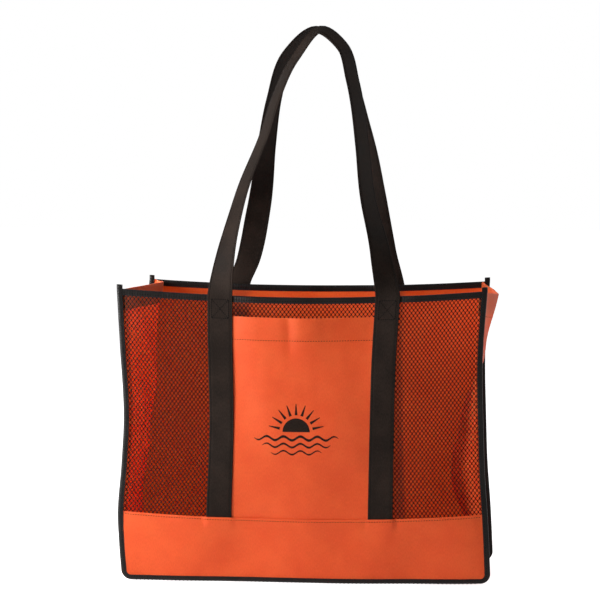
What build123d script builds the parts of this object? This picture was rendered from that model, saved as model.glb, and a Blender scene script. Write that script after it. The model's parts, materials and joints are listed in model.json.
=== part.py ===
from build123d import *

import os
from math import asin, cos, degrees, exp, radians, sin

# Beach tote bag, in millimetres. The bag stands on the floor at z = 0 with its mesh front facing -Y.
# The origin is the centre of the underside of the base.

# ---------------------------------------------------------------- driving dimensions
WIDTH = 457.0  # outer edge to outer edge of the bound front panel
HEIGHT = 356.0  # floor to rim
DEPTH = 152.0  # outer face of the front panel to outer face of the back panel
HANDLE_RISE = 322.0  # rim to the highest point of a handle's centre line, along its slope
STRAP_WIDTH = 31.0
STRAP_SPACING = 204.0  # between the centre lines of the two legs of one strap

# cloth thicknesses
PANEL_T = 1.0  # front mesh and back panel
CLOTH_T = 0.8  # non-woven cloth of the gussets, base, band and pocket
STRAP_T = 1.2
BINDING_T = 0.8  # each side of a folded binding tape
THREAD_T = 0.3
THREAD_WIDTH = 0.6
STITCH_INSET = 1.0  # a thread line's ends stop this far short of the tape or strap beside them

# bindings
BINDING_WIDTH = 8.0
CORNER_RADIUS = 12.0  # lower corners of the front and back panels
BINDING_TAIL = 5.0  # how far the edge bindings stand above the rim

# base band and pocket, both on the front panel
BAND_HEIGHT = 82.0  # floor to the top edge of the band
BAND_LIP = 12.0  # how much of the band lies over the strap ends
BAND_SIDE_GAP = 0.3  # lip to edge binding
BAND_STITCH_DROP = 3.0  # top edge of the band to its thread line
POCKET_DROP = 25.0  # rim to the pocket's mouth
POCKET_HEM = 28.0  # mouth to the hem's stitch line
POCKET_BULGE_TOP = 9.0  # how far the pocket's cloth stands off the mesh at its mouth
POCKET_BULGE_FOOT = 0.2
POCKET_FLAT = 55.0  # half width of the bulged middle
POCKET_SIDE_GAP = 6.0  # between the strap's inner edge and the start of the bulge

# gussets: how far the crease stands in from the plane of the seams, by share of the height
LEFT_FOLDS = ((0.0, 2.0), (0.5, 26.0), (1.0, 36.0))
RIGHT_FOLDS = ((0.0, 2.0), (0.4, 24.0), (1.0, -7.0))

# box stitches, where a strap crosses the rim
BOX_WIDTH = 21.0
BOX_HEIGHT = 23.0
BOX_DROP = 5.0  # rim to the box's upper line

# handles
HINGE_STANDOFF = 2.0  # hinge line in front of the strap's outer face
HINGE_RISE = 1.0  # hinge line above the rim
LOOP_START = 2.0  # first cloth of the loop above the hinge line
LOOP_GAP = 2.4  # between the two loops where they meet
APEX_TWIST = 28.0  # degrees that the strap still faces outward at the top of the loop
TWIST_LENGTH = 60.0  # how quickly the strap turns edge on above the rim
LOOP_SECTIONS = 29

# ---------------------------------------------------------------- derived places
# distances outward from the bag's middle plane, the same on the front and the back
PANEL_OUT = DEPTH / 2
PANEL_IN = PANEL_OUT - PANEL_T
COVER_OUT = PANEL_OUT + CLOTH_T  # band, pocket edges and top binding lie on the panel
STRAP_OUT = COVER_OUT + STRAP_T
LIP_OUT = STRAP_OUT + CLOTH_T
LINING_IN = PANEL_IN - BINDING_T  # inner leg of the top binding
SEAM_IN = LINING_IN - BINDING_T  # inner leg of the edge binding, where gussets and base start

SEAM_X = WIDTH / 2 - BINDING_WIDTH
STRAP_X = STRAP_SPACING / 2
BAND_FOOT = BAND_HEIGHT - BAND_LIP
POCKET_TOP = HEIGHT - POCKET_DROP
HINGE_OUT = STRAP_OUT + HINGE_STANDOFF
HINGE_Z = HEIGHT + HINGE_RISE

FRONT = 1
BACK = -1
LEFT = -1
RIGHT = 1

# Centre lines of the loops as they hang from one hand: shares of STRAP_X across and HANDLE_RISE up.
# The two differ in the legs and share the bend at the top, which lies right of the middle.
LEFT_LEGS = {
    FRONT: [(-1.0, 0.0), (-0.93, 0.15), (-0.74, 0.37), (-0.37, 0.72)],
    BACK: [(-1.0, 0.0), (-0.86, 0.1), (-0.68, 0.28), (-0.5, 0.55)],
}
LOOP_TOP = [(-0.13, 0.88), (0.18, 1.0), (0.43, 0.93), (0.6, 0.8)]
RIGHT_LEGS = {
    FRONT: [(0.69, 0.55), (0.77, 0.34), (0.92, 0.14), (1.0, 0.0)],
    BACK: [(0.72, 0.58), (0.82, 0.36), (0.94, 0.13), (1.0, 0.0)],
}
LOOP_ROUTES = {side: LEFT_LEGS[side] + LOOP_TOP + RIGHT_LEGS[side] for side in (FRONT, BACK)}


def facade(side, distance):
    """Upright plane at a distance outward from the bag's middle, on the front or the back."""
    return Plane.XZ.offset(side * distance)


def panel_outline(inset, top):
    """Edges of a panel's face, set in from the bag's outline, with rounded lower corners."""
    half = WIDTH / 2 - inset
    with BuildLine() as outline:
        FilletPolyline(
            (-half, top), (-half, inset), (half, inset), (half, top), radius=CORNER_RADIUS - inset
        )
        Line((half, top), (-half, top))
    return outline.edges()


def draw_box(x, low, high, width, mode=Mode.ADD):
    """Draw an upright rectangle centred on x, between two heights."""
    with Locations((x, (low + high) / 2)):
        Rectangle(width, high - low, mode=mode)


def main_panel(side):
    """Flat cloth sheet of the front or the back."""
    with BuildPart() as panel:
        with BuildSketch(facade(side, PANEL_IN)):
            make_face(panel_outline(BINDING_T, HEIGHT - BINDING_T))
        extrude(amount=side * PANEL_T)
    return panel


def edge_binding(side):
    """Tape folded round both side edges and the bottom edge of a panel, in one length."""
    top = HEIGHT + BINDING_TAIL
    with BuildPart() as binding:
        with BuildSketch(facade(side, SEAM_IN)):
            make_face(panel_outline(0, top))
            make_face(panel_outline(BINDING_WIDTH, top), mode=Mode.SUBTRACT)
        extrude(amount=side * (COVER_OUT + BINDING_T - SEAM_IN))
        with BuildSketch(facade(side, LINING_IN)):
            make_face(panel_outline(BINDING_T, top))
        extrude(amount=side * (COVER_OUT - LINING_IN), mode=Mode.SUBTRACT)
    return binding


def top_binding(side):
    """Tape folded over the top edge of a panel."""
    width = WIDTH - 2 * BINDING_T
    low = HEIGHT - BINDING_WIDTH
    with BuildPart() as binding:
        with BuildSketch(facade(side, LINING_IN)):
            draw_box(0, low, HEIGHT, width)
        extrude(amount=side * (COVER_OUT - LINING_IN))
        with BuildSketch(facade(side, PANEL_IN)):
            draw_box(0, low, HEIGHT - BINDING_T, width)
        extrude(amount=side * PANEL_T, mode=Mode.SUBTRACT)
    return binding


def strap_leg(side, x, foot):
    """Length of strap sewn flat on a panel, up to the rim."""
    with BuildPart() as leg:
        with BuildSketch(facade(side, COVER_OUT)):
            draw_box(x, foot, HEIGHT, STRAP_WIDTH)
        extrude(amount=side * STRAP_T)
    return leg


def base_band():
    """Band across the foot of the front, stepped out at its top edge over the strap ends."""
    lip_width = 2 * (SEAM_X - BAND_SIDE_GAP)
    with BuildPart() as band:
        with BuildSketch(facade(FRONT, PANEL_OUT)):
            make_face(panel_outline(BINDING_T, BAND_FOOT))
        extrude(amount=CLOTH_T)
        with BuildSketch(facade(FRONT, PANEL_OUT)):
            draw_box(0, BAND_FOOT, BAND_FOOT + CLOTH_T, lip_width)
        extrude(amount=LIP_OUT - PANEL_OUT)
        with BuildSketch(facade(FRONT, STRAP_OUT)):
            draw_box(0, BAND_FOOT, BAND_HEIGHT, lip_width)
        extrude(amount=CLOTH_T)
    return band


def pocket_profile(half, bulge, inner, outer):
    """Points of a strip that follows the pocket's face, seen from above, between two distances out."""
    rise = STRAP_X - STRAP_WIDTH / 2 - POCKET_SIDE_GAP
    face = [(-half, 0), (-rise, 0), (-POCKET_FLAT, bulge), (POCKET_FLAT, bulge), (rise, 0), (half, 0)]
    outside = [(x, -(outer + y)) for x, y in face]
    inside = [(x, -(inner + y)) for x, y in reversed(face)]
    return outside + inside


def pocket_bulge(z):
    """How far the pocket's cloth stands off the mesh at a height."""
    foot = BAND_FOOT + CLOTH_T
    share = (z - foot) / (POCKET_TOP - foot)
    return POCKET_BULGE_FOOT + share * (POCKET_BULGE_TOP - POCKET_BULGE_FOOT)


def front_pocket():
    """Open pocket: its side edges lie under the straps and its foot under the band."""
    with BuildPart() as pocket:
        for z in (BAND_FOOT + CLOTH_T, POCKET_TOP):
            with BuildSketch(Plane.XY.offset(z)):
                with BuildLine():
                    Polyline(*pocket_profile(STRAP_X, pocket_bulge(z), PANEL_OUT, COVER_OUT), close=True)
                make_face()
        loft(ruled=True)
    return pocket


def hem_stitch():
    """Thread line that holds the pocket's hem, between the straps and just clear of the cloth."""
    z = POCKET_TOP - POCKET_HEM
    half = STRAP_X - STRAP_WIDTH / 2 - STITCH_INSET
    bulge = pocket_bulge(z + THREAD_WIDTH)
    with BuildPart() as stitch:
        with BuildSketch(Plane.XY.offset(z)):
            with BuildLine():
                Polyline(*pocket_profile(half, bulge, COVER_OUT, COVER_OUT + THREAD_T), close=True)
            make_face()
        extrude(amount=THREAD_WIDTH)
    return stitch


def band_stitch():
    """Thread line along the top edge of the base band."""
    z = BAND_HEIGHT - BAND_STITCH_DROP
    with BuildPart() as stitch:
        with BuildSketch(facade(FRONT, LIP_OUT)):
            draw_box(0, z, z + THREAD_WIDTH, 2 * (SEAM_X - STITCH_INSET))
        extrude(amount=THREAD_T)
    return stitch


def box_stitches(side):
    """The two boxed crosses of thread that hold one strap at the rim."""
    middle = HEIGHT - BOX_DROP - BOX_HEIGHT / 2
    diagonal = Vector(BOX_WIDTH, BOX_HEIGHT)
    lean = degrees(asin(BOX_HEIGHT / diagonal.length))
    with BuildPart() as stitches:
        with BuildSketch(facade(side, STRAP_OUT)):
            with Locations((-STRAP_X, middle), (STRAP_X, middle)):
                Rectangle(BOX_WIDTH, BOX_HEIGHT)
                Rectangle(BOX_WIDTH - 2 * THREAD_WIDTH, BOX_HEIGHT - 2 * THREAD_WIDTH, mode=Mode.SUBTRACT)
                Rectangle(diagonal.length - 2 * THREAD_WIDTH, THREAD_WIDTH, rotation=lean)
                Rectangle(diagonal.length - 2 * THREAD_WIDTH, THREAD_WIDTH, rotation=-lean)
        extrude(amount=side * THREAD_T)
    return stitches


def gusset(hand, folds):
    """Side panel between the two edge bindings, creased down its middle."""
    low = CLOTH_T
    with BuildPart() as side_panel:
        for share, fold in folds:
            outer = hand * SEAM_X
            crease = hand * (SEAM_X - fold)
            cloth = -hand * CLOTH_T
            with BuildSketch(Plane.XY.offset(low + share * (HEIGHT - low))):
                with BuildLine():
                    Polyline(
                        (outer, -SEAM_IN),
                        (crease, 0),
                        (outer, SEAM_IN),
                        (outer + cloth, SEAM_IN),
                        (crease + cloth, 0),
                        (outer + cloth, -SEAM_IN),
                        close=True,
                    )
                make_face()
        loft(ruled=True)
    return side_panel


def base_panel():
    """Flat floor of the bag, between the two bottom bindings."""
    with BuildPart() as base:
        with BuildSketch(Plane.XY):
            Rectangle(2 * SEAM_X, 2 * SEAM_IN)
        extrude(amount=CLOTH_T)
    return base


def loop_route(side):
    """Centre line of a handle loop in its own plane: across, and up from the hinge line."""
    route = LOOP_ROUTES[side]
    return [(across * STRAP_X, LOOP_START + up * HANDLE_RISE) for across, up in route]


def loop_slope():
    """Inward lean of a loop's plane, in degrees, that brings the two loops together at the top."""
    half_width = STRAP_WIDTH / 2 * cos(radians(APEX_TWIST)) + STRAP_T / 2 + LOOP_GAP / 2
    return degrees(asin((HINGE_OUT - half_width) / (HANDLE_RISE + LOOP_START)))


def handle_loop(side):
    """Strap loop above the rim: it faces outward at the rim and turns nearly edge on above."""
    slope = radians(loop_slope())
    up = Vector(0, side * sin(slope), cos(slope))
    outward = Vector(0, -side * cos(slope), sin(slope))
    hinge = Vector(0, -side * HINGE_OUT, HINGE_Z)
    with BuildLine(Plane(hinge, x_dir=(1, 0, 0), z_dir=Vector(1, 0, 0).cross(up))) as route:
        Spline(*loop_route(side), tangents=((0, 1), (0, -1)))
    path = route.wire()
    with BuildPart() as loop:
        for index in range(LOOP_SECTIONS):
            share = index / (LOOP_SECTIONS - 1)
            along = path % share
            outside = Vector(1, 0, 0) * (-along.dot(up)) + up * along.X
            from_root = min(share, 1 - share) * path.length
            twist = radians(APEX_TWIST + (90 - APEX_TWIST) * exp(-from_root / TWIST_LENGTH))
            normal = outside * cos(twist) + outward * sin(twist)
            with BuildSketch(Plane(path @ share, x_dir=along.cross(normal), z_dir=along)):
                Rectangle(STRAP_WIDTH, STRAP_T)
        loft(ruled=True)
    return loop


def save(name, builder):
    """Label a finished piece and write it to its own file."""
    builder.part.label = name
    export_step(builder.part, f"parts/{name}.step")


os.makedirs("parts", exist_ok=True)

save("front_mesh_panel", main_panel(FRONT))
save("back_panel", main_panel(BACK))
save("left_gusset", gusset(LEFT, LEFT_FOLDS))
save("right_gusset", gusset(RIGHT, RIGHT_FOLDS))
save("base_panel", base_panel())

save("front_edge_binding", edge_binding(FRONT))
save("back_edge_binding", edge_binding(BACK))
save("front_top_binding", top_binding(FRONT))
save("back_top_binding", top_binding(BACK))

save("front_base_band", base_band())
save("band_stitch", band_stitch())
save("front_pocket", front_pocket())
save("pocket_hem_stitch", hem_stitch())

save("front_left_strap", strap_leg(FRONT, -STRAP_X, BAND_FOOT + CLOTH_T))
save("front_right_strap", strap_leg(FRONT, STRAP_X, BAND_FOOT + CLOTH_T))
save("back_left_strap", strap_leg(BACK, -STRAP_X, BINDING_WIDTH))
save("back_right_strap", strap_leg(BACK, STRAP_X, BINDING_WIDTH))
save("front_box_stitches", box_stitches(FRONT))
save("back_box_stitches", box_stitches(BACK))

save("front_handle", handle_loop(FRONT))
save("back_handle", handle_loop(BACK))
print("hinge line", HINGE_OUT, HINGE_Z, "slope", loop_slope())
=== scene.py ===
import json
from math import cos, pi, radians, sin

import bpy
import numpy as np
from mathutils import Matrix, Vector


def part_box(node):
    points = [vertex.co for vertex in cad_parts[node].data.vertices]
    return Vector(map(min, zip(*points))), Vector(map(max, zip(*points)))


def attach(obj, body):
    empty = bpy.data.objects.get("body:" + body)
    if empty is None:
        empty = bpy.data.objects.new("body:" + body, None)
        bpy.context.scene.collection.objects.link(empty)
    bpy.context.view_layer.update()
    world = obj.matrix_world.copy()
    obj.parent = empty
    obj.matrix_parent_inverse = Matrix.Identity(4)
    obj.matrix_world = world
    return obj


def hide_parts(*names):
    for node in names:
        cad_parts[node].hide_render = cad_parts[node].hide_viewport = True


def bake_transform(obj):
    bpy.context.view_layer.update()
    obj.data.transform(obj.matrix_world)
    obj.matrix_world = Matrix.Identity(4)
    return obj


# A beach tote bag with a mesh front, two orange gussets, a base band, an outside pocket and two
# strap handles. Lengths are metres. Flat coordinates run across a panel from its middle and up
# from its lower edge.
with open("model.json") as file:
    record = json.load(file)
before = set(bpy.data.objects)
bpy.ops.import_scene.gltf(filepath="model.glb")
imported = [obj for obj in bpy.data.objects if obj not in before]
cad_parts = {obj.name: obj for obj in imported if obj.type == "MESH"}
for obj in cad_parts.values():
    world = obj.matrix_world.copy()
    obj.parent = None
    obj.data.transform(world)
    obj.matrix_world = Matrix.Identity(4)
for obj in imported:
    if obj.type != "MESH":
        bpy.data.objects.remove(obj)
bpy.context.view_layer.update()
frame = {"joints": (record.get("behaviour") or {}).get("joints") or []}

MM = 0.001
FRONT = 1
BACK = -1
LEFT = -1
RIGHT = 1

# ---------------------------------------------------------------- sizes taken from the frame
HALF_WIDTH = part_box("front_edge_binding")[1].x
TAPE_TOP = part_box("front_edge_binding")[1].z
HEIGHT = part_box("front_top_binding")[1].z
PANEL_OUT = -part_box("front_mesh_panel")[0].y
LEG_LOW, LEG_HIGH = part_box("front_right_strap")
STRAP_WIDTH = LEG_HIGH.x - LEG_LOW.x
STRAP_X = (LEG_HIGH.x + LEG_LOW.x) / 2
BAND_FOOT = LEG_LOW.z
POCKET_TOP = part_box("front_pocket")[1].z
HEM_STITCH_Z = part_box("pocket_hem_stitch")[0].z
BOX_LOW, BOX_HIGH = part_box("front_box_stitches")
HINGES = {joint["child"]: Vector(joint["pos_m"]) for joint in frame["joints"]}
HINGE_OUT = -HINGES["front_loop"].y
HINGE_Z = HINGES["front_loop"].z

# ---------------------------------------------------------------- how the cloth hangs
CORNER_RADIUS = 12 * MM
CORNER_LIFT = {LEFT: 0.3 * MM, RIGHT: 2.5 * MM}  # how far the lower edge rises at its corners
FOOT = 0.9 * MM  # lower edge of a panel above the floor, for the tape folded under it
RIM_MIDDLE = {FRONT: 350.5 * MM, BACK: 352 * MM}
RIM_RISE = {FRONT: 9.5 * MM, BACK: 7 * MM}  # how much higher the rim is at its ends
BILLOW = {FRONT: 5 * MM, BACK: 6 * MM}  # outward swell in the middle of a panel
RIM_PULL = 4 * MM  # how far each strap draws the rim inward
PULL_WIDTH = 30 * MM  # on each side of a strap
BACK_CORNER_IN = 20 * MM  # how far the top of the back panel's left edge leans in
# how far each side edge is drawn in, by share of the height; the back panel's too
WAIST = {
    LEFT: [
        (0, 0.0045), (0.04, 0.0037), (0.08, 0.0025), (0.14, 0.0012), (0.21, 0),
        (0.4, 0.005), (0.55, 0.008), (0.78, 0.0042), (0.89, 0.002), (1, 0),
    ],
    RIGHT: [(0, 0), (0.2, 0.0035), (0.38, 0.008), (0.5, 0.0095), (0.78, 0.0112), (1, 0.006)],
}
# how deep each gusset is creased inward, by share of the height; below 0 it bulges outward
FOLD = {
    LEFT: [(0, 0.001), (0.25, 0.006), (0.6, 0.017), (1, 0.027)],
    RIGHT: [(0, 0.001), (0.15, 0.018), (0.35, 0.036), (0.5, 0.027), (0.79, -0.009), (1, -0.021)],
}
FOLD_SHARE = 0.6  # share of a fold's depth that draws the panels together
GUSSET_DIP = {LEFT: -3 * MM, RIGHT: 9 * MM}  # how far a gusset's rim sinks at its crease
# slack in a panel: height in mm, radians per metre across and up, phase in radians
WAVES = ((1.0, 37, 9, 0.4), (0.8, -21, 31, 2.1), (0.5, 52, -27, 4.0), (0.45, 11, 68, 1.0))
# front straps: how far aside each sits at the rim, and how far it leans back towards its foot
STRAP_SET = {(FRONT, LEFT): (0.0, 1.5 * MM), (FRONT, RIGHT): (2.8 * MM, 11.8 * MM)}
STRAP_OUT = 1.55 * MM  # middle of a sewn strap's cloth to the panel
STRAP_SLACK = 0.5 * MM
STRAP_PRESSED = 0.1 * MM  # how far that slack can be pressed in
STRAP_LIFT = 0.4 * MM  # how much further out a strap lies where it crosses the rim

# ---------------------------------------------------------------- cloth and thread
CLOTH_T = 0.7 * MM
STRAP_T = 1.3 * MM
TAPE_T = 0.6 * MM
HEM_GAP = 1.0 * MM  # between the two layers of a hem
GUSSET_FOOT = 3.8 * MM  # how much lower a gusset ends on the base than in the bindings
GUSSET_HEM = 26 * MM
BAND_HEIGHT = 84 * MM  # at its ends, where it meets the side tapes
BAND_HEM_GAP = 0.95 * MM
LIP_OVER_STRAP = 3.0 * MM  # how far the band's upper edge climbs
LIP_OVER_POCKET = 2.0 * MM
LIP_OVER_NET = 1.1 * MM
SEAM = 8.4 * MM  # edge of the bag to where a gusset or the base leaves the binding
STITCH_PITCH = 3.2 * MM
EDGE_LINE = 2.6 * MM  # edge of a strap to its line of stitches

# net: staggered six-sided holes, each in a cell of yarn that meets its neighbours
NET_ACROSS = 5.0 * MM
NET_UP = 3.3 * MM
NET_HOLE = ((0, 2.2), (-1.65, 0.88), (-1.65, -0.88), (0, -2.2), (1.65, -0.88), (1.65, 0.88))  # mm
NET_CELL = ((0, 2.6), (-2.5, 0.7), (-2.5, -0.7), (0, -2.6), (2.5, -0.7), (2.5, 0.7))  # mm
NET_OUT = -0.4 * MM  # middle of the net to the panel's outer face
NET_RIDGE = 0.28 * MM  # half the thickness where cells meet
NET_MERGE = 0.05 * MM  # points of neighbouring cells this near are one
NET_SPLIT = 76 * MM  # the net below this height lies behind the band

# pocket, with its print placed from the middle of the panel's lower edge
POCKET_BULGE = 7 * MM
POCKET_SIDE = STRAP_X - STRAP_WIDTH / 2 - 3 * MM
CREASE_X = -18 * MM
PRINT_X = -8 * MM
PRINT_Z = 190 * MM
SUN_RADIUS = 17 * MM
RAY_INNER = 21 * MM
RAY_OUTER = 35 * MM
WAVE_LENGTH = 21.2 * MM
WAVE_HEIGHT = 2.4 * MM
PRINT_WAVES = ((8, 53, 1.6), (17, 43, 1.3), (26, 32, 1.0))  # mm: down, half length, half weight
INK_T = 0.1 * MM

# handles: centre lines near the model's, as shares of the strap spacing across and of the rise up
RISE = 322 * MM
LOOP_START = 2 * MM  # root of a loop above its hinge
SLOPE = radians(11.485)  # lean of each loop towards the other
LOOP_STEPS = 170
LOOP_END = 4 * MM  # root of a loop to its first row of points
SETTLE_STEPS = 8.75  # steps of a loop over which its root comes into line with its sewn legs
ROUTES = {
    FRONT: [
        (-1.0, 0.0), (-0.935, 0.15), (-0.76, 0.37), (-0.5, 0.6), (-0.36, 0.74), (-0.15, 0.89), (0.17, 1.0),
        (0.41, 0.94), (0.56, 0.8), (0.68, 0.55), (0.77, 0.34), (0.92, 0.14), (1.0, 0.0),
    ],
    BACK: [
        (-0.925, 0.0), (-0.8, 0.1), (-0.675, 0.28), (-0.55, 0.55), (-0.455, 0.73), (-0.25, 0.91), (0.1, 1.0),
        (0.38, 0.93), (0.52, 0.79), (0.67, 0.58), (0.77, 0.36), (0.88, 0.13), (1.0, 0.0),
    ],
}
APEX_TWIST = 28  # degrees that a loop's face is turned outward at its top; at its roots it is 90
TWIST_LENGTH = {FRONT: 52 * MM, BACK: 155 * MM}
TWIST_POWER = {FRONT: 1.0, BACK: 2.0}


def through(knots, place):
    """Smooth curve through (place, value) knots."""
    places = np.array([knot[0] for knot in knots], float)
    values = np.array([knot[1] for knot in knots], float)
    slopes = np.gradient(values, places, axis=0)
    place = np.clip(place, places[0], places[-1])
    index = np.clip(np.searchsorted(places, place, side="right") - 1, 0, len(places) - 2)
    gap = places[index + 1] - places[index]
    f = (place - places[index]) / gap
    if values.ndim > 1:
        f = f[..., None]
        gap = gap[..., None]
    rise = 3 * f**2 - 2 * f**3
    start = (f**3 - 2 * f**2 + f) * gap * slopes[index]
    end = (f**3 - f**2) * gap * slopes[index + 1]
    return values[index] * (1 - rise) + values[index + 1] * rise + start + end


def ramp(value, low, high):
    """0 below low, 1 above high, smooth between."""
    share = np.clip((value - low) / (high - low), 0, 1)
    return share * share * (3 - 2 * share)


def wrinkles(side, x, z):
    """Low, wide waves of slack cloth, different on the front and the back."""
    height = sum(h * np.sin(side * across * x + up * z + phase) for h, across, up, phase in WAVES)
    return MM * height * (1 - np.clip(np.abs(x) / HALF_WIDTH, 0, 1) ** 8)


def fold_pull(hand, share):
    """How far a folded gusset draws the panels' edges together."""
    fold = through(FOLD[hand], share)
    return FOLD_SHARE * (PANEL_OUT - np.sqrt(PANEL_OUT**2 - fold**2))


def corner_lift(u):
    """How far the lower edge rises towards its ends."""
    return np.where(u < 0, CORNER_LIFT[LEFT], CORNER_LIFT[RIGHT]) * np.abs(u) ** 3


def facade(side, x, z, out=0.0):
    """Places of flat points of the front or the back once the bag hangs, at a distance outward."""
    x, z, out = np.broadcast_arrays(np.asarray(x, float), z, out)
    u = x / HALF_WIDTH
    share = z / HEIGHT
    held = np.clip(share, 0, 1)
    left = np.clip((1 - u) / 2, 0, 1)
    right = np.clip((1 + u) / 2, 0, 1)
    across = x + through(WAIST[LEFT], held) * left**3 - through(WAIST[RIGHT], held) * right**3
    if side == BACK:
        across = across + BACK_CORNER_IN * left**3 * held**3
    pull = fold_pull(LEFT, held) * left**2 + fold_pull(RIGHT, held) * right**2
    pull = pull + RIM_PULL * held**6 * np.exp(-(((np.abs(x) - STRAP_X) / PULL_WIDTH) ** 2))
    swell = BILLOW[side] * (1 - np.clip(u**2, 0, 1)) * np.sin(pi * held) ** 0.8
    depth = PANEL_OUT + out + swell - pull + wrinkles(side, x, z)
    low = FOOT + corner_lift(u)
    high = RIM_MIDDLE[side] + RIM_RISE[side] * u**2
    return np.stack([across, -side * depth, low + (high - low) * share], axis=-1)


def strap_middle(side, hand, z):
    """Flat place across of a strap's centre line at a height."""
    aside, lean = STRAP_SET.get((side, hand), (0.0, 0.0))
    return hand * STRAP_X + aside - lean * (1 - np.clip(z / HEIGHT, 0, 1))


def strap_out(side, hand, z):
    """How far the middle of a sewn strap's cloth stands off the panel."""
    slack = np.maximum(STRAP_SLACK * np.sin(33 * z + hand + side), -STRAP_PRESSED)
    return STRAP_OUT + slack + STRAP_LIFT * ramp(z, HEIGHT - 12 * MM, HEIGHT)


def outline_limit(z, inset):
    """Half width of a panel at a height, inside its rounded lower corners."""
    radius = CORNER_RADIUS - inset
    drop = np.clip(CORNER_RADIUS - z, 0, radius)
    return HALF_WIDTH - inset - radius + np.sqrt(np.maximum(radius**2 - drop**2, 0))


# ---------------------------------------------------------------- meshes
class Cloth:
    """Points, faces and flat coordinates gathered for one mesh."""

    def __init__(self):
        self.points = []
        self.faces = []
        self.flat = []
        self.count = 0

    def add(self, points, faces, flat, corners=()):
        points = np.asarray(points, float).reshape(-1, 3)
        self.points.append(points)
        self.flat.append(np.asarray(flat, float).reshape(-1, 3))
        self.faces += (np.asarray(corners, int).reshape(-1, 3) + self.count).tolist()
        self.faces += (np.asarray(faces, int) + self.count).tolist()
        self.count += len(points)

    def build(self, name, paint, sharp=40):
        points = np.concatenate(self.points)
        mesh = bpy.data.meshes.new(name)
        mesh.from_pydata(points.tolist(), [], self.faces)
        weave = mesh.attributes.new("cloth", "FLOAT_VECTOR", "POINT")
        weave.data.foreach_set("vector", np.concatenate(self.flat).astype(np.float32).ravel())
        mesh.shade_smooth()
        mesh.set_sharp_from_angle(angle=radians(sharp))
        mesh.materials.append(paint)
        piece = bpy.data.objects.new(name, mesh)
        bpy.context.scene.collection.objects.link(piece)
        return piece


def normals_of(grid):
    """Unit normals of a grid of points, facing across x along."""
    normal = np.cross(np.gradient(grid, axis=1), np.gradient(grid, axis=0))
    return normal / np.maximum(np.linalg.norm(normal, axis=2, keepdims=True), 1e-12)


def slab(cloth, grid, thickness, flat):
    """Closed sheet of a thickness around a grid of middle points."""
    rows, columns = grid.shape[:2]
    half = np.broadcast_to(np.asarray(thickness, float) / 2, (rows, columns))[..., None]
    normal = normals_of(grid)
    over = (grid + normal * half).reshape(-1, 3)
    below = (grid - normal * half).reshape(-1, 3)
    points = np.concatenate([over, below])
    number = np.arange(rows * columns).reshape(rows, columns)
    under = number + rows * columns
    a, b, c, d = number[:-1, :-1], number[:-1, 1:], number[1:, 1:], number[1:, :-1]
    faces = [np.stack([a, b, c, d], axis=-1).reshape(-1, 4)]
    faces.append(np.stack([d, c, b, a], axis=-1).reshape(-1, 4) + rows * columns)
    edges = [number[0, ::-1], number[:, 0], number[-1, :], number[::-1, -1]]
    lower = [under[0, ::-1], under[:, 0], under[-1, :], under[::-1, -1]]
    for top, bottom in zip(edges, lower):
        faces.append(np.stack([top[:-1], top[1:], bottom[1:], bottom[:-1]], axis=-1))
    layers = np.concatenate([flat.reshape(-1, 3), flat.reshape(-1, 3) + [0, 0, 1]])
    cloth.add(points, np.concatenate(faces), layers)


def flat_grid(across, along):
    """Flat coordinates of a grid, from arrays of places across and along."""
    across, along = np.broadcast_arrays(across, along)
    return np.stack([across, along, np.zeros_like(across)], axis=-1)


def along_line(points):
    """Distance from the start of a line at each of its points."""
    steps = np.linalg.norm(np.diff(points, axis=0), axis=1)
    return np.concatenate([[0], np.cumsum(steps)])


STITCH_RINGS = ((0.12, 0.6), (0.5, 1.0), (0.88, 0.6))  # share of a stitch's run, share of its radius


def sew(cloth, line, normals, pitch=STITCH_PITCH, length=0.66, radius=0.42 * MM):
    """Row of small rounded stitches along a line that lies on cloth."""
    distance = along_line(line)
    count = max(1, int(round(distance[-1] / pitch)))
    starts = (np.arange(count) + 0.5 * (1 - length)) * distance[-1] / count
    run = length * distance[-1] / count

    def at(values, place):
        return np.stack([np.interp(place, distance, values[:, k]) for k in range(3)], axis=1)

    forward = at(line, starts + run) - at(line, starts)
    forward = forward / np.linalg.norm(forward, axis=1, keepdims=True)
    upward = at(normals, starts + run / 2)
    sideways = np.cross(forward, upward)
    rings = [at(line, starts)[:, None] + 0 * upward[:, None]]
    for share, size in STITCH_RINGS:
        middle = at(line, starts + run * share)
        corners = [sideways, upward * 0.9, -sideways, -upward * 0.5]
        rings.append(np.stack([middle + corner * radius * size for corner in corners], axis=1))
    rings.append(at(line, starts + run)[:, None])
    points = np.concatenate(rings, axis=1)
    tips = [(0, 1 + k, 1 + (k + 1) % 4) for k in range(4)]
    tips += [(13, 9 + (k + 1) % 4, 9 + k) for k in range(4)]
    sides = []
    for ring in (1, 5):
        for k in range(4):
            after = (k + 1) % 4
            sides.append((ring + k, ring + 4 + k, ring + 4 + after, ring + after))
    size = points.shape[1]
    first = (np.arange(count) * size)[:, None, None]
    flat = np.repeat(starts, size)[:, None] * [1, 0, 0]
    faces = (np.array(sides) + first).reshape(-1, 4)
    corners = (np.array(tips) + first).reshape(-1, 3)
    cloth.add(points, faces, flat, corners)


def facade_line(side, x, z, out):
    """Line on the front or the back with its outward normals."""
    line = facade(side, x, z, out)
    normals = np.tile([0.0, -side, 0.0], (len(line), 1))
    return line, normals


# ---------------------------------------------------------------- materials
BOND_PITCH = 1.5 * MM


def cloth_coordinates(nodes):
    """Node that gives the flat cloth coordinates in metres."""
    node = nodes.new("ShaderNodeAttribute")
    node.attribute_name = "cloth"
    return node.outputs["Vector"]


def math_node(nodes, links, operation, first, second):
    """Math node of two inputs, each a socket or a number."""
    node = nodes.new("ShaderNodeMath")
    node.operation = operation
    for socket, value in zip(node.inputs, (first, second)):
        if isinstance(value, (int, float)):
            socket.default_value = value
        else:
            links.new(value, socket)
    return node.outputs[0]


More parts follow.
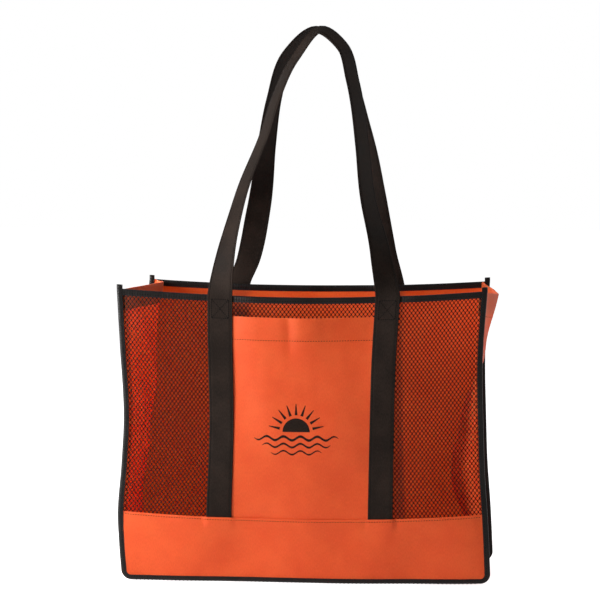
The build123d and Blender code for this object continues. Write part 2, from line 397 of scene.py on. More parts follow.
def noise(nodes, links, vector, scale, detail=3.0, stretch=(1, 1, 1)):
    """Noise over the cloth, with features of about 1 / scale metres."""
    mapping = nodes.new("ShaderNodeMapping")
    mapping.inputs["Scale"].default_value = stretch
    links.new(vector, mapping.inputs["Vector"])
    node = nodes.new("ShaderNodeTexNoise")
    node.inputs["Scale"].default_value = scale
    node.inputs["Detail"].default_value = detail
    links.new(mapping.outputs["Vector"], node.inputs["Vector"])
    return node.outputs["Fac"]


def ridge(nodes, links, vector, axis, pitch):
    """Sine ridges across one axis of the cloth."""
    split = nodes.new("ShaderNodeSeparateXYZ")
    links.new(vector, split.inputs[0])
    turned = math_node(nodes, links, "MULTIPLY", split.outputs[axis], 2 * pi / pitch)
    return math_node(nodes, links, "SINE", turned, 0.0)


def bump(nodes, links, height, distance, strength, below=None):
    """Bump of a height socket, on top of another bump."""
    node = nodes.new("ShaderNodeBump")
    node.inputs["Distance"].default_value = distance
    node.inputs["Strength"].default_value = strength
    links.new(height, node.inputs["Height"])
    if below is not None:
        links.new(below, node.inputs["Normal"])
    return node.outputs["Normal"]


def blend_colours(nodes, links, share, dark, light):
    """Colour between two, by a share socket."""
    node = nodes.new("ShaderNodeValToRGB")
    node.color_ramp.elements[0].position = 0.41
    node.color_ramp.elements[1].position = 0.59
    node.color_ramp.elements[0].color = (*dark, 1)
    node.color_ramp.elements[1].color = (*light, 1)
    links.new(share, node.inputs["Fac"])
    return node.outputs["Color"]


def roughness_range(nodes, links, share, low, high):
    """Roughness between two values, by a share socket."""
    node = nodes.new("ShaderNodeMapRange")
    node.inputs["From Min"].default_value = 0.3
    node.inputs["From Max"].default_value = 0.7
    node.inputs["To Min"].default_value = low
    node.inputs["To Max"].default_value = high
    links.new(share, node.inputs["Value"])
    return node.outputs["Result"]


def add_subsurface(shader, glow, depth):
    """Light that passes into and through thin cloth, reddest furthest."""
    shader.inputs["Subsurface Weight"].default_value = glow
    shader.inputs["Subsurface Radius"].default_value = (1.0, 0.6, 0.4)
    shader.inputs["Subsurface Scale"].default_value = depth


def nonwoven(name, colours, rough, emboss, crumple, gloss, sheen=0.0, glow=0.0, depth=0.0, pucker=0.0):
    """Spun-bonded cloth: staggered bond dots, stray fibres, soft crumples, and a broad colour mottle that is
    partly uneven dye and partly painted crumple shade.
    """
    paint = bpy.data.materials.new(name)
    paint.use_nodes = True
    nodes = paint.node_tree.nodes
    links = paint.node_tree.links
    shader = nodes["Principled BSDF"]
    vector = cloth_coordinates(nodes)
    # broad light and dark patches in the colour: partly uneven dye, partly painted shade of crumples
    dye_and_crumple_shade = noise(nodes, links, vector, 26, 4.0)
    fibre = noise(nodes, links, vector, 900, 5.0, (1, 0.35, 1))
    half_dye_and_shade = math_node(nodes, links, "MULTIPLY", dye_and_crumple_shade, 0.5)
    half_fibre = math_node(nodes, links, "MULTIPLY", fibre, 0.5)
    mottle = math_node(nodes, links, "ADD", half_dye_and_shade, half_fibre)
    links.new(blend_colours(nodes, links, mottle, *colours), shader.inputs["Base Color"])
    links.new(roughness_range(nodes, links, mottle, *rough), shader.inputs["Roughness"])
    across = ridge(nodes, links, vector, 0, BOND_PITCH)
    along = ridge(nodes, links, vector, 1, BOND_PITCH)
    dots = math_node(nodes, links, "MULTIPLY", across, along)
    folds = noise(nodes, links, vector, 17, 2.0, (1, 0.6, 1))
    normal = bump(nodes, links, folds, crumple, 1.0)
    normal = bump(nodes, links, fibre, 0.12 * MM, 0.8, normal)
    normal = bump(nodes, links, dots, emboss, 1.0, normal)
    if pucker:
        gathers = ridge(nodes, links, vector, 1, STITCH_PITCH)
        normal = bump(nodes, links, gathers, pucker, 1.0, normal)
    links.new(normal, shader.inputs["Normal"])
    shader.inputs["Sheen Weight"].default_value = sheen
    shader.inputs["Sheen Roughness"].default_value = 0.45
    shader.inputs["Sheen Tint"].default_value = (*[min(1.0, 0.5 + part) for part in colours[1]], 1)
    shader.inputs["Specular IOR Level"].default_value = gloss
    add_subsurface(shader, glow, depth)
    return paint


def thread(name, dark, light):
    """Fuzzy thread, yarn or ink between two colours."""
    paint = bpy.data.materials.new(name)
    paint.use_nodes = True
    nodes = paint.node_tree.nodes
    links = paint.node_tree.links
    shader = nodes["Principled BSDF"]
    vector = cloth_coordinates(nodes)
    fuzz = noise(nodes, links, vector, 700, 3.0)
    links.new(blend_colours(nodes, links, fuzz, dark, light), shader.inputs["Base Color"])
    links.new(roughness_range(nodes, links, fuzz, 0.45, 0.7), shader.inputs["Roughness"])
    links.new(bump(nodes, links, fuzz, 0.1 * MM, 0.6), shader.inputs["Normal"])
    shader.inputs["Specular IOR Level"].default_value = 0.1
    return paint


# dark and light ends of each cloth's colour; the broad spread between them is partly painted crumple shade
ORANGE_DYE_AND_SHADE = ((0.76, 0.082, 0.014), (0.84, 0.107, 0.021))
BROWN_BLACK = ((0.012, 0.0077, 0.0056), (0.025, 0.016, 0.012))
SATIN_BLACK = ((0.004, 0.003, 0.0026), (0.009, 0.0068, 0.006))
ORANGE = nonwoven(
    "orange_nonwoven", ORANGE_DYE_AND_SHADE, (0.42, 0.58), emboss=0.05 * MM, crumple=2.4 * MM, gloss=0.28,
    sheen=0.04, glow=0.5, depth=2.5 * MM,
)
THIN = nonwoven(
    "thin_orange_nonwoven", ORANGE_DYE_AND_SHADE, (0.42, 0.58), emboss=0.05 * MM, crumple=1.7 * MM, gloss=0.25,
    sheen=0.04, glow=0.75, depth=4.0 * MM,
)
STRAP = nonwoven(
    "black_strap", BROWN_BLACK, (0.6, 0.78), emboss=0.06 * MM, crumple=1.6 * MM, gloss=0.1
)
TAPE = nonwoven(
    "black_tape", SATIN_BLACK, (0.3, 0.45), emboss=0.04 * MM, crumple=1.4 * MM, gloss=0.3, pucker=0.08 * MM
)
NET = thread("black_net", (0.005, 0.0042, 0.004), (0.012, 0.01, 0.009))
BLACK_THREAD = thread("black_thread", (0.0012, 0.0012, 0.0012), (0.003, 0.0028, 0.0026))
ORANGE_THREAD = thread("rust_thread", (0.07, 0.01, 0.004), (0.13, 0.02, 0.007))
INK = thread("black_ink", (0.012, 0.007, 0.005), (0.022, 0.013, 0.009))


# ---------------------------------------------------------------- panels
def panel_rows(low, high, step=7 * MM):
    """Even heights between two, about a step apart."""
    return np.linspace(low, high, max(2, int(round((high - low) / step)) + 1))


def build_back_panel():
    cloth = Cloth()
    z = panel_rows(1 * MM, HEIGHT - 1 * MM)[:, None]
    x = np.linspace(1, -1, 64)[None] * outline_limit(z, 1.2 * MM)
    grid = facade(BACK, x, z, -0.4 * MM)
    slab(cloth, grid, CLOTH_T, flat_grid(x, z + 0 * x))
    piece = cloth.build("back_panel_cloth", THIN)
    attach(piece, "bag")
    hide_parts("back_panel")


def net_cells(low, high):
    """Centres of the net's holes between two heights, inside the panel's outline."""
    rows = np.arange(int(low / NET_UP), int(high / NET_UP))
    columns = np.arange(-60, 61)
    row, column = np.meshgrid(rows, columns, indexing="ij")
    x = (column + 0.5 * (row % 2)) * NET_ACROSS
    z = (row + 0.5) * NET_UP
    keep = np.abs(x) < outline_limit(z, 2.2 * MM) - 2.5 * MM
    return x[keep], z[keep]


def build_net(name, low, high):
    """Knitted net with real holes: each cell is a ring of cloth, thickest where cells meet."""
    x, z = net_cells(low, high)
    hole = np.array(NET_HOLE) * MM
    cell = np.array(NET_CELL) * MM
    count = len(x)

    def ring(shape, out):
        across = x[:, None] + shape[None, :, 0]
        up = z[:, None] + shape[None, :, 1]
        return facade(FRONT, across, up, out), flat_grid(across, up)

    inner, inner_flat = ring(hole, NET_OUT)
    outer, outer_flat = ring(cell, NET_OUT + NET_RIDGE)
    behind, behind_flat = ring(cell, NET_OUT - NET_RIDGE)
    points = np.concatenate([inner, outer, behind], axis=1)
    flat = np.concatenate([inner_flat, outer_flat, behind_flat], axis=1)
    pattern = []
    for k in range(6):
        after = (k + 1) % 6
        pattern.append((k, 6 + k, 6 + after, after))
        pattern.append((k, after, 12 + after, 12 + k))
    pattern = np.array(pattern)[:, ::-1]
    start = np.arange(count) * points.shape[1]
    faces = (pattern[None] + start[:, None, None]).reshape(-1, 4)
    points = points.reshape(-1, 3)
    flat = flat.reshape(-1, 3)
    place = np.round(np.column_stack([flat[:, :2], points[:, 1]]) / NET_MERGE).astype(int)
    first, shared = np.unique(place, axis=0, return_index=True, return_inverse=True)[1:]
    cloth = Cloth()
    cloth.add(points[first], shared.reshape(-1)[faces], flat[first])
    piece = cloth.build(name, NET, 75)
    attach(piece, "bag")
    return piece


def band_top(x):
    """Height of the band's upper edge, a little higher at its ends."""
    return HEIGHT * (0.224 + 0.013 * (x / HALF_WIDTH) ** 2)


def band_out(x, z):
    """The band lies on the net, and its lip climbs over the ends of the straps and the pocket."""
    over_left = 1 - ramp(np.abs(x - strap_middle(FRONT, LEFT, BAND_FOOT)), 15 * MM, 21 * MM)
    over_right = 1 - ramp(np.abs(x - strap_middle(FRONT, RIGHT, BAND_FOOT)), 15 * MM, 21 * MM)
    over_pocket = 1 - ramp(np.abs(x), STRAP_X - 6 * MM, STRAP_X + 2 * MM)
    over_straps = np.maximum(over_left, over_right)
    lip = np.maximum(over_straps * LIP_OVER_STRAP, over_pocket * LIP_OVER_POCKET)
    at_end = ramp(np.abs(x), HALF_WIDTH - 20 * MM, HALF_WIDTH - 9 * MM)
    lip = np.maximum(lip, LIP_OVER_NET) * (1 - at_end)
    climb = ramp(z, BAND_FOOT - 9 * MM, BAND_FOOT + 5 * MM)
    waves = 2 + np.sin(23 * x + 0.7) + 0.6 * np.sin(61 * x + 2) + 0.4 * np.sin(17 * x - 40 * z)
    slack = 0.8 * MM * waves * ramp(z, 0, 40 * MM) * (1 - climb)
    return 0.6 * MM + climb * lip + slack * (1 - (x / HALF_WIDTH) ** 6)


def build_band():
    cloth = Cloth()
    share = np.linspace(-1, 1, 150)[None]
    outside = np.concatenate([np.linspace(0, 0.82, 16), np.linspace(0.85, 0.985, 8)])
    behind = np.linspace(0.95, 0.86, 4)
    rise = np.concatenate([outside, [1.0, 1.0, 0.985], behind])
    inward = np.concatenate([0 * outside, [0.3, 0.8, 1.0], np.ones(len(behind))]) * BAND_HEM_GAP
    limit_z = rise[:, None] * BAND_HEIGHT
    x = share * outline_limit(limit_z, 1.0 * MM)
    z = 1 * MM + rise[:, None] * (band_top(x) - 1 * MM)
    grid = facade(FRONT, x, z, band_out(x, z) - inward[:, None])
    flat = flat_grid(x, 0 * x + along_line(grid[:, 75])[:, None])
    slab(cloth, grid, CLOTH_T, flat)
    piece = cloth.build("front_base_band_cloth", ORANGE, 60)
    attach(piece, "bag")
    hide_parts("front_base_band")


def build_band_stitches():
    cloth = Cloth()
    x = np.linspace(-1, 1, 400) * (HALF_WIDTH - SEAM)
    z = band_top(x) - 2.8 * MM
    sew(cloth, *facade_line(FRONT, x, z, band_out(x, z) + 0.5 * CLOTH_T))
    piece = cloth.build("band_stitching", ORANGE_THREAD)
    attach(piece, "bag")
    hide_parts("band_stitch")


# ---------------------------------------------------------------- pocket
def pocket_out(x, z):
    """How far the pocket's cloth stands off the net: flat at its sides and foot, slack at its mouth."""
    across = np.clip(1 - (x / POCKET_SIDE) ** 2, 0, 1)
    share = np.clip((z - BAND_FOOT) / (POCKET_TOP - BAND_FOOT), 0, 1)
    belly = POCKET_BULGE * share**1.4 * across**1.15
    gather = ramp(z, POCKET_TOP - 75 * MM, POCKET_TOP - 10 * MM)
    crease = 1.7 * MM * np.exp(-(((x - CREASE_X - 60 * (POCKET_TOP - z) * MM) / (7 * MM)) ** 2))
    second = 0.9 * MM * np.exp(-(((x - 30 * MM) / (14 * MM)) ** 2))
    slack = 1.3 * MM * np.sin(58 * x + 22 * z) * share * across
    return 0.4 * MM + belly - gather * (crease + second) * across + slack


def build_pocket():
    cloth = Cloth()
    body = np.linspace(BAND_FOOT, HEM_STITCH_Z, 34)
    hem = np.linspace(HEM_STITCH_Z + 3 * MM, POCKET_TOP - 1 * MM, 9)
    rows = np.concatenate([body, hem])
    back = np.linspace(POCKET_TOP - 1 * MM, HEM_STITCH_Z - 2 * MM, 8)
    z = np.concatenate([rows, [POCKET_TOP, POCKET_TOP], back])[:, None]
    inward = np.concatenate([np.zeros(len(rows)), [0.25, 0.75], np.ones(len(back))])[:, None] * HEM_GAP
    x = np.linspace(-1, 1, 72)[None] * (STRAP_X + 0 * z)
    grid = facade(FRONT, x, z, pocket_out(x, z) - inward)
    slab(cloth, grid, CLOTH_T, flat_grid(x, 0 * x + along_line(grid[:, 36])[:, None]))
    piece = cloth.build("front_pocket_cloth", ORANGE, 60)
    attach(piece, "bag")
    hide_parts("front_pocket")


def build_pocket_stitches():
    cloth = Cloth()
    x = np.linspace(-1, 1, 120) * (STRAP_X - STRAP_WIDTH / 2 + 2 * MM)
    z = HEM_STITCH_Z + 0 * x
    sew(cloth, *facade_line(FRONT, x, z, pocket_out(x, z) + 0.5 * CLOTH_T))
    piece = cloth.build("pocket_hem_stitching", ORANGE_THREAD)
    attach(piece, "bag")
    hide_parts("pocket_hem_stitch")


def print_patch(cloth, x, z):
    """Thin film of ink over a patch of the pocket."""
    x = x + PRINT_X
    z = z + PRINT_Z
    grid = facade(FRONT, x, z, pocket_out(x, z) + CLOTH_T / 2 + INK_T)
    slab(cloth, grid, INK_T, flat_grid(x, z))


def build_print():
    """Plain motif of a rising sun over three waves."""
    cloth = Cloth()
    turn = np.linspace(pi, 0, 33)[None]
    radius = np.linspace(0.02, 1, 6)[:, None] * SUN_RADIUS
    print_patch(cloth, radius * np.cos(turn), radius * np.sin(turn))
    for ray in np.linspace(radians(12), radians(168), 9):
        reach = np.linspace(RAY_INNER, RAY_OUTER, 7)[:, None]
        taper = (reach - RAY_INNER) / (RAY_OUTER - RAY_INNER)
        spread = np.linspace(1, -1, 4)[None] * (1.7 - 1.3 * taper) * MM
        print_patch(cloth, reach * cos(ray) - spread * sin(ray), reach * sin(ray) + spread * cos(ray))
    for drop, half, weight in PRINT_WAVES:
        x = np.linspace(-half, half, 4 * half)[None] * MM
        taper = np.sqrt(np.clip(1 - (x / (half * MM)) ** 4, 0.02, 1))
        edge = np.linspace(-1, 1, 3)[:, None] * weight * MM * taper
        crest = WAVE_HEIGHT * np.sin(2 * pi * x / WAVE_LENGTH)
        print_patch(cloth, x + 0 * edge, edge - drop * MM + crest)
    piece = cloth.build("pocket_print", INK)
    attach(piece, "bag")


# ---------------------------------------------------------------- gussets and base
def gusset_middle(hand, z, front, back):
    """The gusset between its two leaving lines: creased, slack, and lower at its foot and its rim."""
    share = z / HEIGHT
    v = np.linspace(-1, 1, 41)[None, :, None]
    inside = 1 - v[..., 0] ** 2
    crease = 1 - np.sqrt(v[..., 0] ** 2 + 0.0016)
    sheet = front + (back - front) * (v + 1) / 2
    fold = through(FOLD[hand], share)[:, None]
    slack = 1.6 * MM * np.sin(7 * z[:, None] / HEIGHT * pi + 3 * v[..., 0] + hand) * inside
    fine = 0.7 * MM * np.sin(90 * z[:, None] + 9 * v[..., 0]) * inside
    loose = ramp(inside, 0, 0.5) * ramp(z, 3 * MM, 45 * MM)[:, None]
    sheet[..., 0] -= hand * (fold * crease + (slack + fine) * loose)
    foot = 1 - ramp(z, 3 * MM, 25 * MM)
    sheet[..., 2] -= GUSSET_FOOT * ramp(1 - np.abs(v[..., 0]), 0, 0.1) * foot[:, None]
    sheet[..., 2] -= GUSSET_DIP[hand] * crease * ramp(share, 0.3, 1)[:, None]
    return sheet


def gusset_grid(hand, z, layer):
    """Whole gusset, from inside the front binding to inside the back one; its hem layer lies inside."""
    tuck = hand * np.minimum(HALF_WIDTH - 2 * MM, outline_limit(z, 1.6 * MM))
    leave = hand * (HALF_WIDTH - SEAM + 0 * z)
    ends = {}
    for side in (FRONT, BACK):
        ends[side] = [facade(side, tuck, z, -1.35 * MM)[:, None], facade(side, leave, z, -1.5 * MM)[:, None]]
        ends[side].append(facade(side, leave - hand * 0.6 * MM, z, -3.2 * MM)[:, None])
    sheet = gusset_middle(hand, z, ends[FRONT][2], ends[BACK][2])
    grid = np.concatenate([*ends[FRONT][:2], sheet, *ends[BACK][1::-1]], axis=1)
    grid[..., 0] -= hand * HEM_GAP * layer[:, None]
    return grid


def build_gusset(hand, name, node):
    """Side panel from the front binding to the back one, creased down the middle, with a doubled top hem."""
    up = panel_rows(3 * MM, HEIGHT - 1.2 * MM)
    down = np.linspace(HEIGHT - 1.2 * MM, HEIGHT - GUSSET_HEM, 5)
    z = np.concatenate([up, [HEIGHT - 0.2 * MM, HEIGHT - 0.2 * MM], down])
    layer = np.concatenate([np.zeros(len(up)), [0.2, 0.8], np.ones(len(down))])
    grid = gusset_grid(hand, z, layer)
    across = along_line(grid[10])[None]
    along = along_line(grid[:, 22])[:, None]
    cloth = Cloth()
    slab(cloth, grid, CLOTH_T, flat_grid(across, along))
    piece = cloth.build(name, THIN, 60)
    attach(piece, "bag")
    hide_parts(node)
    row = int(np.argmin(np.abs(up - (HEIGHT - GUSSET_HEM))))
    line = grid[row, 3:-3] + [hand * 0.5 * CLOTH_T, 0, 0]
    stitches = Cloth()
    sew(stitches, line, np.tile([float(hand), 0, 0], (len(line), 1)))
    seam = stitches.build(name + "_hem_stitching", ORANGE_THREAD)
    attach(seam, "bag")


def build_base():
    """Floor of the bag, slack between the two bottom bindings."""
    x = np.linspace(-1, 1, 60) * (HALF_WIDTH - SEAM - 0.7 * MM)
    rows = []
    for side in (FRONT, BACK):
        seam = [facade(side, x, 2 * MM, -1.35 * MM), facade(side, x, 7.2 * MM, -1.5 * MM)]
        rows.append(seam + [facade(side, x, 7.0 * MM, -3.4 * MM)])
    low = corner_lift(x / HALF_WIDTH) + 0.5 * MM
    level = 1 - np.abs(x / x[-1]) ** 8
    sheet = []
    for v in np.linspace(0.04, 0.96, 30):
        line = rows[0][2] + (rows[1][2] - rows[0][2]) * v
        settle = float(ramp(min(v, 1 - v), 0.0, 0.16))
        ripple = 0.8 * MM * (1 + np.sin(31 * x + 9 * v)) * settle * level
        line[:, 2] = line[:, 2] * (1 - settle) + (low + ripple) * settle
        sheet.append(line)
    grid = np.stack(rows[0] + sheet + rows[1][::-1])
    cloth = Cloth()
    across = x[None] + 0 * grid[..., 0]
    along = 0 * grid[..., 0] + along_line(grid[:, 30])[:, None]
    slab(cloth, grid, CLOTH_T, flat_grid(across, along))
    piece = cloth.build("base_cloth", ORANGE, 60)
    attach(piece, "bag")
    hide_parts("base_panel")


# ---------------------------------------------------------------- bindings
# in from the edge and out from the panel, mm
TAPE_PROFILE = (
    (7.3, 1.15), (5.2, 1.35), (3.0, 1.4), (1.1, 1.2), (0.25, 0.6), (0.0, -0.4),
    (0.25, -1.4), (1.1, -2.0), (3.0, -2.2), (5.2, -2.15), (7.3, -2.0),
)
TOP_PROFILE = (
    (7.7, 0.4), (5.4, 0.6), (3.0, 0.65), (1.1, 0.55), (0.25, 0.2), (0.0, -0.4),
    (0.25, -1.0), (1.1, -1.35), (3.0, -1.45), (5.4, -1.4), (7.7, -1.2),
)
SIDE_TAPE_WIDTH = 0.92  # as shares of the profile
FOOT_TAPE_WIDTH = 0.8


def edge_route():
    """Flat outline down one side, round the lower corners and up the other, with inward directions."""
    side = np.linspace(TAPE_TOP, CORNER_RADIUS, 70)
    turn = np.linspace(0, pi / 2, 12)[1:-1]
    bottom = np.linspace(-HALF_WIDTH + CORNER_RADIUS, HALF_WIDTH - CORNER_RADIUS, 90)
    corner = np.stack([-np.cos(turn), -np.sin(turn)], axis=1)
    middle = np.array([-HALF_WIDTH + CORNER_RADIUS, CORNER_RADIUS])
    left = np.stack([0 * side - HALF_WIDTH, side], axis=1)
    foot = np.stack([bottom, 0 * bottom], axis=1)
    mirror = np.array([-1.0, 1.0])
    places = [left, middle + corner * CORNER_RADIUS, foot]
    inward = [np.tile([1.0, 0.0], (len(side), 1)), -corner, np.tile([0.0, 1.0], (len(bottom), 1))]
    places += [places[1][::-1] * mirror, left[::-1] * mirror]
    inward += [inward[1][::-1] * mirror, np.tile([-1.0, 0.0], (len(side), 1))]
    return np.concatenate(places), np.concatenate(inward)


def tape_grid(side, places, inward, profile, width):
    """Grid of a tape folded round an edge."""
    shape = np.array(profile) * MM
    depth = shape[None, :, 0] * width[:, None]
    x = places[:, 0:1] + inward[:, 0:1] * depth
    z = places[:, 1:2] + inward[:, 1:2] * depth
    return facade(side, x, z, np.broadcast_to(shape[None, :, 1], x.shape))


def build_tape(side, name, node, places, inward, profile, width):
    """Binding tape with its stitches on both faces, and the stitches as a piece of their own."""
    grid = tape_grid(side, places, inward, profile, width)
    if side == BACK:
        grid = grid[:, ::-1]
    along = along_line(grid[:, 5])[:, None]
    across = along_line(grid[len(grid) // 2])[None]
    cloth = Cloth()
    slab(cloth, grid, TAPE_T, flat_grid(across + 0 * along, along + 0 * across))
    piece = cloth.build(name, TAPE, 60)
    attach(piece, "bag")
    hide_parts(node)
    normal = normals_of(grid)
    lines = Cloth()
    for column, beside in ((1, 2), (-2, -3)):
        line = grid[:, column] * 0.7 + grid[:, beside] * 0.3
        sew(lines, line + normal[:, column] * TAPE_T * 0.5, normal[:, column])
    seam = lines.build(name + "_stitching", BLACK_THREAD)
    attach(seam, "bag")


def build_bindings():
    """The tape round the sides and foot of each panel, and the tape over its top edge."""
    places, inward = edge_route()
    width = SIDE_TAPE_WIDTH - (SIDE_TAPE_WIDTH - FOOT_TAPE_WIDTH) * np.clip(inward[:, 1], 0, 1)
    x = np.linspace(-1, 1, 150) * (HALF_WIDTH - 0.9 * MM)
    rim = np.stack([x, HEIGHT + 0 * x], axis=1)
    downward = np.tile([0.0, -1.0], (len(x), 1))
    for side, word in ((FRONT, "front"), (BACK, "back")):
        name = word + "_edge_tape"
        build_tape(side, name, word + "_edge_binding", places, inward, TAPE_PROFILE, width)
        name = word + "_top_tape"
        build_tape(side, name, word + "_top_binding", rim[::-1], downward, TOP_PROFILE, 1 + 0 * x)


# ---------------------------------------------------------------- straps
# half a strap's section from its round edge past its stitched groove, as shares of its half width
STRAP_EDGE = (1.0, 0.985, 0.94, 0.88, 0.83, 0.78)
STRAP_EDGE_T = (0.35, 0.85, 1.05, 1.0, 0.62, 1.0)


def strap_across():
    """Places across a strap, as shares of its half width, and its thickness there."""
    inner = np.linspace(0.66, 0, 5)
    half = np.concatenate([STRAP_EDGE, inner])
    thick = np.concatenate([STRAP_EDGE_T, np.ones(len(inner))])
    return np.concatenate([-half, half[-2::-1]]), STRAP_T * np.concatenate([thick, thick[-2::-1]])


def loop_line(side):
    """Centre line of a loop, its length from the root, its directions and its facing normals."""
    places = np.array(ROUTES[side]) * [STRAP_X, RISE] + [0, LOOP_START]
    knots = along_line(places)
    upright = [(knots[0] - 12 * MM, places[0] - [0, 12 * MM])]
    upright += list(zip(knots, places))
    upright += [(knots[-1] + 12 * MM, places[-1] - [0, 12 * MM])]
    flat = through(upright, np.linspace(0, knots[-1], 1400))
    distance = along_line(flat)
    even = np.linspace(LOOP_END, distance[-1] - LOOP_END, LOOP_STEPS)
    flat = np.stack([np.interp(even, distance, flat[:, k]) for k in range(2)], axis=1)
    up = np.array([0, side * sin(SLOPE), cos(SLOPE)])
    outward = np.array([0, -side * cos(SLOPE), sin(SLOPE)])
    hinge = np.array([0, -side * HINGE_OUT, HINGE_Z])
    line = hinge + flat[:, :1] * [1, 0, 0] + flat[:, 1:] * up
    along = np.gradient(line, axis=0)
    along = along / np.linalg.norm(along, axis=1, keepdims=True)
    outside = np.array([1, 0, 0]) * -(along @ up)[:, None] + up * along[:, :1]
    root = np.minimum(even, distance[-1] - even)
    turn = np.exp(-((root / TWIST_LENGTH[side]) ** TWIST_POWER[side]))
    twist = np.radians(APEX_TWIST + (90 - APEX_TWIST) * turn)[:, None]
    normal = outside * np.cos(twist) + outward * np.sin(twist)
    return line, along, normal, root


def leg_grid(side, hand, across, foot):
    """Grid of the strap sewn on a panel, from its foot to the rim."""
    z = np.linspace(foot, HEIGHT, 56)[:, None]
    reach = across[None] * STRAP_WIDTH / 2
    x = strap_middle(side, hand, z) + reach
    cup = 0.25 * MM * np.abs(across[None]) ** 4
    return facade(side, x, z, strap_out(side, hand, z) - cup)


def strap_grid(side, across, foot):
    """Grid of a whole strap, up one leg, over the loop and down the other, and the loop's rows."""
    line, along, normal, root = loop_line(side)
    sideways = np.cross(along, normal)
    reach = across[None, :, None] * STRAP_WIDTH / 2
    step = np.arange(len(line))
    cup = 0.5 * MM * np.abs(across[None, :, None]) ** 3
    ripple = 0.5 * MM * np.sin(step * 0.21 + side)[:, None, None]
    loop = line[:, None] + sideways[:, None] * reach
    loop = loop + normal[:, None] * (ripple - cup)
    up_leg = leg_grid(side, LEFT, across * side, foot)
    down_leg = leg_grid(side, RIGHT, -across * side, foot)[::-1]
    fade = np.exp(-((step / SETTLE_STEPS) ** 2))[:, None, None]
    start = (up_leg[-1] - loop[0])[None] * fade
    end = (down_leg[0] - loop[-1])[None] * fade[::-1]
    loop = loop + start + end
    return np.concatenate([up_leg, loop[1:-1], down_leg]), (len(up_leg) + 4, -len(down_leg) - 4)


def build_strap_stitches(name, grid, across, loop_rows):
    """Line of stitches near both edges: on the outer face all along, on the inner face of the loop."""
    seams = Cloth()
    surface = normals_of(grid)
    place = 1 - EDGE_LINE / (STRAP_WIDTH / 2)
    first, last = loop_rows
    for hand in (-1, 1):
        line = between_columns(grid, across, hand * place)
        facing = between_columns(surface, across, hand * place)
        sew(seams, line + facing * STRAP_T / 2, facing, 3.0 * MM, 0.7)
        inner = facing[first:last]
        sew(seams, line[first:last] - inner * STRAP_T / 2, -inner, 3.0 * MM, 0.7)
    return seams.build(name + "_stitching", BLACK_THREAD)


def build_strap(side, name, nodes, foot):
    """One strap, up one leg, over its loop and down the other, with its stitching."""
    across, thickness = strap_across()
    grid, loop_rows = strap_grid(side, across, foot)
    length = along_line(grid[:, len(across) // 2])
    cloth = Cloth()
    flat = flat_grid(across[None] * STRAP_WIDTH / 2 + 0 * length[:, None], length[:, None])
    slab(cloth, grid, thickness[None], flat)
    piece = cloth.build(name, STRAP, 60)
    stitching = build_strap_stitches(name, grid, across, loop_rows)
    for part in (piece, stitching):
        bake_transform(part)
    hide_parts(*nodes)


def between_columns(values, across, place):
    """Values of a grid along a place across it."""
    return np.stack([[np.interp(place, across, row[:, k]) for k in range(3)] for row in values])


def build_box_stitches(side, name, node):
    """Boxed cross of thread where each strap leg crosses the rim."""
    half = BOX_HIGH.x - STRAP_X
    low = BOX_LOW.z
    high = BOX_HIGH.z
    corners = [(-1, low), (1, low), (1, high), (-1, high), (-1, low)]
    strokes = list(zip(corners[:-1], corners[1:]))
    strokes += [((-1, low), (1, high)), ((-1, high), (1, low))]
    cloth = Cloth()
    for hand in (LEFT, RIGHT):
        for (u0, z0), (u1, z1) in strokes:
            z = np.linspace(z0, z1, 16)
            x = strap_middle(side, hand, z) + np.linspace(u0, u1, 16) * half
            out = strap_out(side, hand, z) + STRAP_T / 2
            sew(cloth, *facade_line(side, x, z, out), 2.6 * MM, 0.75, 0.55 * MM)
    piece = cloth.build(name, BLACK_THREAD)
    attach(piece, "bag")
    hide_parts(node)


def build_bag():
    build_back_panel()
    net = build_net("front_mesh_net", NET_SPLIT, HEIGHT - 1.5 * MM)
    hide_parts("front_mesh_panel")
    build_net("front_mesh_net_foot", 3 * MM, NET_SPLIT)
    build_band()
    build_band_stitches()
    build_pocket()
    build_pocket_stitches()
    build_print()
    build_gusset(LEFT, "left_gusset_cloth", "left_gusset")
    build_gusset(RIGHT, "right_gusset_cloth", "right_gusset")
    build_base()
    build_bindings()
    front_nodes = ("front_left_strap", "front_right_strap", "front_handle")
    back_nodes = ("back_left_strap", "back_right_strap", "back_handle")
    build_strap(FRONT, "front_strap", front_nodes, BAND_FOOT)
    build_strap(BACK, "back_strap", back_nodes, 5.6 * MM)
    build_box_stitches(FRONT, "front_box_cross", "front_box_stitches")
    build_box_stitches(BACK, "back_box_cross", "back_box_stitches")


# ---------------------------------------------------------------- studio
CAMERA_AIM = Vector((-0.0107, 0, 0.3405))
CAMERA_AZIMUTH = radians(5)
CAMERA_ELEVATION = radians(5.5)
CAMERA_DISTANCE = 3.5
CAMERA_LENS = 169.5
WORLD_LIGHT = 0.14
WORLD_SEEN = 1.0
FLOOR_LIGHT = 0.1
FLOOR_SEEN = 0.93


def seen_strength(tree, lighting, seen):
    """Strength of a white surround: one value as it lights the bag, another where it is seen."""
    ray = tree.nodes.new("ShaderNodeLightPath").outputs["Is Camera Ray"]
    strength = math_node(tree.nodes, tree.links, "MULTIPLY", ray, seen - lighting)
    return math_node(tree.nodes, tree.links, "ADD", strength, lighting)


def floor_paint():
    """Pale matt floor with a little light of its own, like a lit white sweep."""
    paint = bpy.data.materials.new("pale_floor")
    paint.use_nodes = True
    shader = paint.node_tree.nodes["Principled BSDF"]
    shader.inputs["Base Color"].default_value = (0.85, 0.85, 0.85, 1)
    shader.inputs["Roughness"].default_value = 0.8
    shader.inputs["Emission Color"].default_value = (1, 1, 1, 1)
    strength = seen_strength(paint.node_tree, FLOOR_LIGHT, FLOOR_SEEN)
    paint.node_tree.links.new(strength, shader.inputs["Emission Strength"])
    return paint


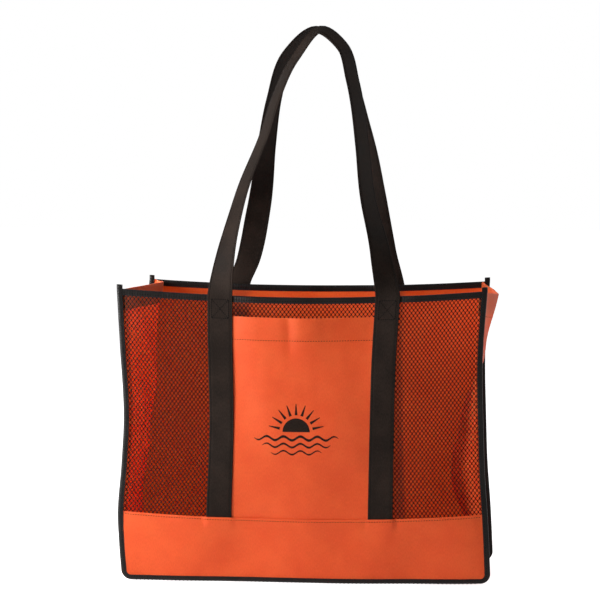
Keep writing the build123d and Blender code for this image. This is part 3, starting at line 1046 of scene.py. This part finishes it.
def build_floor():
    half = 6.0
    mesh = bpy.data.meshes.new("floor")
    corners = [(-half, -half, 0), (half, -half, 0), (half, half, 0), (-half, half, 0)]
    mesh.from_pydata(corners, [], [(0, 1, 2, 3)])
    mesh.materials.append(floor_paint())
    floor = bpy.data.objects.new("floor", mesh)
    floor.location.z = -0.3 * MM
    bpy.context.scene.collection.objects.link(floor)


def add_light(name, place, aim, size, power):
    data = bpy.data.lights.new(name, "AREA")
    data.shape = "DISK"
    data.size = size
    data.energy = power
    lamp = bpy.data.objects.new(name, data)
    lamp.location = place
    lamp.rotation_euler = (Vector(aim) - Vector(place)).to_track_quat("-Z", "Y").to_euler()
    bpy.context.scene.collection.objects.link(lamp)


def build_studio():
    world = bpy.data.worlds.new("studio")
    world.use_nodes = True
    background = world.node_tree.nodes["Background"]
    background.inputs["Color"].default_value = (1, 1, 1, 1)
    strength = seen_strength(world.node_tree, WORLD_LIGHT, WORLD_SEEN)
    world.node_tree.links.new(strength, background.inputs["Strength"])
    bpy.context.scene.world = world
    add_light("key", (-1.1, -0.6, 0.6), (-0.12, -0.05, 0.27), 0.45, 22)
    add_light("fill", (0.9, -2.2, 0.9), (0.05, 0, 0.3), 1.4, 1)
    add_light("side", (1.9, 0.9, 0.5), (0.1, 0, 0.2), 1.2, 11)
    add_light("back", (-0.9, 2.0, 0.7), (0, 0.05, 0.2), 1.4, 10)
    add_light("top", (0.05, 0.1, 1.9), (0, 0, 0.3), 1.0, 7)
    bpy.context.scene.view_settings.view_transform = "Standard"


def build_camera():
    data = bpy.data.cameras.new("camera")
    data.lens = CAMERA_LENS
    data.sensor_width = 36
    camera = bpy.data.objects.new("camera", data)
    level = cos(CAMERA_ELEVATION)
    away = Vector((sin(CAMERA_AZIMUTH) * level, -cos(CAMERA_AZIMUTH) * level, sin(CAMERA_ELEVATION)))
    camera.location = CAMERA_AIM + away * CAMERA_DISTANCE
    camera.rotation_euler = (-away).to_track_quat("-Z", "Y").to_euler()
    bpy.context.scene.collection.objects.link(camera)
    bpy.context.scene.camera = camera


build_bag()
build_floor()
build_studio()
build_camera()
